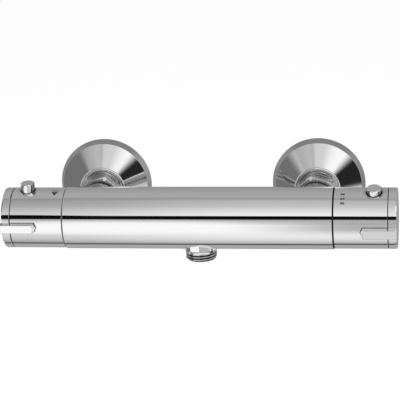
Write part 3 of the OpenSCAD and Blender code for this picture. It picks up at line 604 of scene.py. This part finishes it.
def coil(name, start, axis, length, r, wire, turns, body):
    """A round wire wound into a spring with closed ends, from start along an axis, in mm."""
    ahead = Vector(axis).normalized()
    across = ahead.orthogonal().normalized()
    up = ahead.cross(across)
    steps, ring = round(turns * STEPS_A_TURN), STEPS_ROUND
    free = length - 4 * wire
    points, faces = [], []
    for k in range(steps + 1):
        turn = turns * k / steps
        far = wire + min(turn, 1) * wire + min(max(turn - 1, 0) / (turns - 2), 1) * free \
            + max(turn - turns + 1, 0) * wire
        out = across * math.cos(2 * math.pi * turn) + up * math.sin(2 * math.pi * turn)
        for m in range(ring):
            lean = 2 * math.pi * m / ring
            points.append(Vector(start) + ahead * (far + wire * math.sin(lean))
                          + out * (r + wire * math.cos(lean)))
            if k:
                a, b = (k - 1) * ring + m, (k - 1) * ring + (m + 1) % ring
                faces.append((a, b, b + ring, a + ring))
    faces += [tuple(range(ring)), tuple(range(steps * ring, (steps + 1) * ring))]
    return solid(name, points, faces, body, crease=60)


finish(rubber, "outlet_seal")
for side in ("left", "right"):
    finish(neck_plate, "inlet_nipple_" + side)
    finish(rubber, "inlet_washer_" + side)
    finish(stainless, "inlet_strainer_" + side)
    finish(check_plastic, "check_housing_" + side, "check_poppet_" + side)
    low, high = (Vector(corner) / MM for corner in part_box("check_spring_" + side))
    spot, length = Vector(((low.x + high.x) / 2, low.y, (low.z + high.z) / 2)), high.y - low.y
    spring = coil("check_coil_" + side, spot, (0, 1, 0), length, r=3.32, wire=0.35, turns=7, body="valve")
    dress(spring, spring_steel, "spring_steel", "check_spring_" + side)
    "check_" + side + "_lift"
    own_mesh(spring)

# Inside the bar sit the two cartridges. The temperature one is a plastic and brass sleeve with a
# copper wax element that moves the slide; the flow one is brass, with two ceramic discs.
inner_brass = matter("inner_brass", (0.78, 0.58, 0.27), 0.25, 1.0, 800, 0.00002, 0.15)
cartridge_plastic = matter("cartridge_plastic", (0.74, 0.72, 0.62), 0.45, 0.0, 1200, 0.00002, 0.08)
wax_copper = matter("wax_copper", (0.80, 0.46, 0.30), 0.24, 1.0, 900, 0.00001, 0.2)
ceramic = matter("ceramic", (0.88, 0.88, 0.86), 0.18, 0.0, 2200, 0.000005, 0.04)
screw_steel = matter("screw_steel", (0.58, 0.58, 0.60), 0.25, 1.0, 1500, 0.00001, 0.1)
dark_plastic = matter("dark_plastic", (0.006, 0.006, 0.0065), 0.8, 0.0, 1300, 0.00002, 0.25)
# A dark grey plastic, for the left joint ring and for the painted contact shade under the levers
dark_grey_plastic = matter("dark_grey_plastic", (0.12, 0.12, 0.122), 0.4, 0.0, 1300, 0.00002, 0.2)
# Every inner piece takes the matter of its slot
BY_SLOT = {"inner_brass": inner_brass, "cartridge_plastic": cartridge_plastic, "wax_copper": wax_copper,
           "ceramic": ceramic, "screw_steel": screw_steel, "dark_plastic": dark_plastic, "rubber": rubber,
           "stainless": stainless, "spring_steel": spring_steel}
for part in frame["record"]["subparts"]:
    if part["material_slot"] in BY_SLOT:
        finish(BY_SLOT[part["material_slot"]], part["node"])
THERMOSTAT_SHIFT, THERMO_WIRE = 0.7, 0.42
low, high = (Vector(corner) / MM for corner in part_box("thermo_return_spring"))
r = (high.z - low.z) / 2 - THERMO_WIRE - 0.01
spot, length = Vector((low.x, BAR_Y, BAR_Z)), high.x - low.x
spring = coil("thermo_coil", spot, (1, 0, 0), length, r, THERMO_WIRE, turns=6, body="valve")
dress(spring, spring_steel, "spring_steel", "thermo_return_spring")
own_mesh(spring)

# The handles are die-cast shells, polished and chromed. Each turns on a dark plastic ring against the end of
# the bar, a thin dark ring put in the joint with its end cap stands for the shade there, and painted shade
# darkens its button's well and, on the right, its edge at the bar.
HANDLE_R = reach("temp_handle", 2)[1] - BAR_Z
JOINT_TO, CAP_JOINT = reach("temp_handle", 0)
CAP_GAP = 0.35
# Where each button stands: along the bar, turned up from the front in degrees, and its well's radius
BUTTONS = {half: (sum(reach(half + "_button", 0)) / 2, lean, well_r)
           for half, lean, well_r in (("flow", 84, 5.25), ("temp", 75, 5.55))}


def painted_shade_in_recess(spot):
    """Painted shade, nearly full on the right handle's edge in its joint with the bar, most of the way in the
    two wells of the buttons, and a little in a soft ring round each well."""
    x, y, z = in_mm(spot)
    dark = x.step(JOINT_TO + 0.25, JOINT_TO + 0.1) * x.step(HALF - 0.3, HALF - 0.15) * 0.9
    for button_x, lean, well_r in BUTTONS.values():
        lean = math.radians(lean)
        across = (y - BAR_Y) * math.sin(lean) + (z - BAR_Z) * math.cos(lean)
        far = spot.sum("SQRT", spot.sum("POWER", x - button_x, 2.0) + spot.sum("POWER", across, 2.0))
        dark = dark + z.step(0, 2) * (far.step(well_r + 0.05, well_r - 0.05) * 0.7
                                      + far.step(well_r + 2.4, well_r) * 0.3)
    return dark


handle_chrome = chrome("handle_chrome", POLISHED, rough=0.015, wave=0.00003, dark=painted_shade_in_recess)
finish(handle_chrome, "flow_handle", "temp_handle")
# The left ring is a lighter grey plastic, and comes a little further out
for sign, half, body, edge, plastic in ((-1, "flow", "flow_control", 20.2, dark_grey_plastic),
                                        (1, "temp", "temperature_handle", 20.12, dark_plastic)):
    start, end = HALF + 0.02, JOINT_TO - 0.02
    ring = eased([(17.0, start), (edge, start, 0.08), (edge, end, 0.08), (17.0, end)])
    dress(lathe(half + "_joint_ring", ring, (0, BAR_Y, BAR_Z), (sign, 0, 0)),
          plastic, "dark_plastic", half + "_glide_ring")
    # A thin dark plastic ring fills the joint with the end cap as painted shade, standing for the shade in
    # that gap
    start, end = CAP_JOINT + 0.04, CAP_JOINT + CAP_GAP - 0.04
    ring = [(18.3, start), (20.12, start), (20.12, end), (18.3, end)]
    dress(lathe(half + "_cap_ring", ring, (0, BAR_Y, BAR_Z), (sign, 0, 0), body),
          dark_plastic, "dark_plastic")

# The marks are pad-printed in black enamel: a pointer and a line on the flow handle, and the
# degrees on the temperature handle.
enamel = matter("mark_enamel", (0.02, 0.02, 0.02), 0.35, 0.0, 2600, 0.000003, 0.2)


def on_handle(x, turn, r):
    """The point on the handle at x mm, turned up from the front by an angle in degrees."""
    turn = math.radians(turn)
    return x, BAR_Y - r * math.cos(turn), BAR_Z + r * math.sin(turn)


def thin_layer(name, sections, body, inner=HANDLE_R - 0.02, outer=HANDLE_R + 0.03, face=enamel):
    """A thin layer laid round the handle, such as a print, from sections (turn, lowest x, highest x)."""
    points, faces = [], []
    for turn, low, high in sections:
        points += [on_handle(low, turn, inner), on_handle(high, turn, inner),
                   on_handle(high, turn, outer), on_handle(low, turn, outer)]
    for i in range(0, len(points) - 4, 4):
        faces += [(i + k, i + (k + 1) % 4, i + 4 + (k + 1) % 4, i + 4 + k) for k in range(4)]
    faces += [(0, 1, 2, 3), tuple(range(len(points) - 4, len(points)))]
    dress(solid(name, points, faces, body, crease=20), face, "dark_plastic")


POINTER_X, POINTER_HALF, POINTER_TIP, POINTER_TALL = -96.6, 2.3, 64.5, 11.0
pointer = []
for k in range(11):
    wide = POINTER_HALF * max(k / 10, 0.03)
    pointer.append((POINTER_TIP + POINTER_TALL * k / 10, POINTER_X - wide, POINTER_X + wide))
thin_layer("flow_pointer", pointer, "flow_control")
LINE_TURN, LINE_HALF, LINE_TALL = 79.0, 2.4, 2.25
line = [(LINE_TURN + LINE_TALL * k / 3, POINTER_X - LINE_HALF, POINTER_X + LINE_HALF) for k in range(4)]
thin_layer("flow_line", line, "flow_control")
# The figures' place along the bar and their height, the font's size for that height, and how much
# wider and bolder they are than the font draws them
FIGURES_X, FIGURE_TALL, FONT_SHARE, WIDER, BOLDER = 96.1, 1.45, 1.42, 1.45, 0.11


def print_figures(text, turn):
    """Figures printed on the temperature handle, their feet towards the front."""
    letters = bpy.data.curves.new("figures_" + text, "FONT")
    letters.body, letters.size, letters.extrude = text, FIGURE_TALL * FONT_SHARE, 0.02
    letters.align_x, letters.align_y, letters.resolution_u, letters.offset = "CENTER", "CENTER", 4, BOLDER
    shape = bpy.data.objects.new("figures", letters)
    bpy.context.scene.collection.objects.link(shape)
    flat = bpy.data.meshes.new_from_object(shape.evaluated_get(bpy.context.evaluated_depsgraph_get()))
    bpy.data.objects.remove(shape)
    points = [on_handle(FIGURES_X + p.co.x * WIDER, turn + math.degrees(p.co.y / HANDLE_R),
                        HANDLE_R + 0.012 + p.co.z) for p in flat.vertices]
    faces = [tuple(face.vertices) for face in flat.polygons]
    bpy.data.meshes.remove(flat)
    dress(solid("degrees_" + text, points, faces, "temperature_handle", crease=20), enamel, "dark_plastic")


for figures, turn in (("38", 68), ("34", 56.5), ("30", 46.5)):
    print_figures(figures, turn)

# The lever caps are die-cast too: a round end cap with a flat blade that reaches back over the
# handle, so that a finger can turn it. The caps are pressed onto the handles' open ends.


def painted_shade_on_blade(spot):
    """Painted shade, part way on the narrow sides of the levers, which are also made rougher there, where the
    polishing wheel hardly reaches.
    """
    y, z = in_mm(spot)[1:]
    steep = spot.sum("ABSOLUTE", spot.node("ShaderNodeTexCoord", out="Normal").parts()[2])
    return steep.step(0.5, 0.8) * y.step(BAR_Y - 19.6, BAR_Y - 19.8) * z.step(3, 2) * 0.25


cap_chrome = chrome("cap_chrome", POLISHED, rough=0.02, wave=0.00002, dark=painted_shade_on_blade)
finish(cap_chrome, "flow_lever_cap", "temp_lever_cap")
# Painted shade: a thin dark grey sheet under each blade shows a little round it, beside it and ahead of its
# tip, and stands for the shade where the blade meets the handle
LEVER_TIP = reach("temp_lever_cap", 0)[0]
LEVER_PROW, LEVER_HALF, SHADE_BESIDE, SHADE_AHEAD = 1.3, 3.05, 0.3, 0.55
for sign, half, lean, body in ((-1, "flow", -1, "flow_control"), (1, "temp", -9, "temperature_handle")):
    strip = []
    for k in range(-8, 9):
        off = (LEVER_HALF + SHADE_BESIDE) * k / 8
        tip = LEVER_TIP + LEVER_PROW * abs(off) / LEVER_HALF - SHADE_AHEAD
        ends = sorted((sign * tip, sign * (CAP_JOINT - 0.4)))
        strip.append((lean + math.degrees(off / HANDLE_R), *ends))
    thin_layer(half + "_lever_pad", strip, body, HANDLE_R - 0.05, HANDLE_R + 0.06, dark_grey_plastic)

# The buttons are turned and plated pins with a flat top. Each stands on a spring in its handle and
# lets the handle pass its stop when it is pressed.


def painted_reflection_on_button_sides(spot):
    """Painted dark reflection, most of the way on the left and right of a button, and 0 on its front, back
    and top.
    """
    sideways = spot.sum("ABSOLUTE", spot.node("ShaderNodeNewGeometry", out="Normal").parts()[0])
    return sideways.step(0.58, 0.72) * 0.75


button_chrome = chrome("button_chrome", POLISHED, rough=0.04, wave=0.00001, dark=painted_reflection_on_button_sides, duller=0)
finish(button_chrome, "flow_button", "temp_button")
SPRING_FOOT, SPRING_HEAD, BUTTON_TRAVEL = 9.0, 15.65, 2.5
for half, joint, body in (("flow", "flow_release_press", "flow_control"),
                          ("temp", "temperature_release", "temperature_handle")):
    x, lean = BUTTONS[half][:2]
    foot, head = Vector(on_handle(x, lean, SPRING_FOOT)), Vector(on_handle(x, lean, SPRING_HEAD))
    length = SPRING_HEAD - SPRING_FOOT
    spring = coil(half + "_button_coil", foot, head - foot, length, r=2.78, wire=0.36, turns=5, body=body)
    dress(spring, spring_steel, "spring_steel", half + "_button_spring")
    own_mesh(spring)
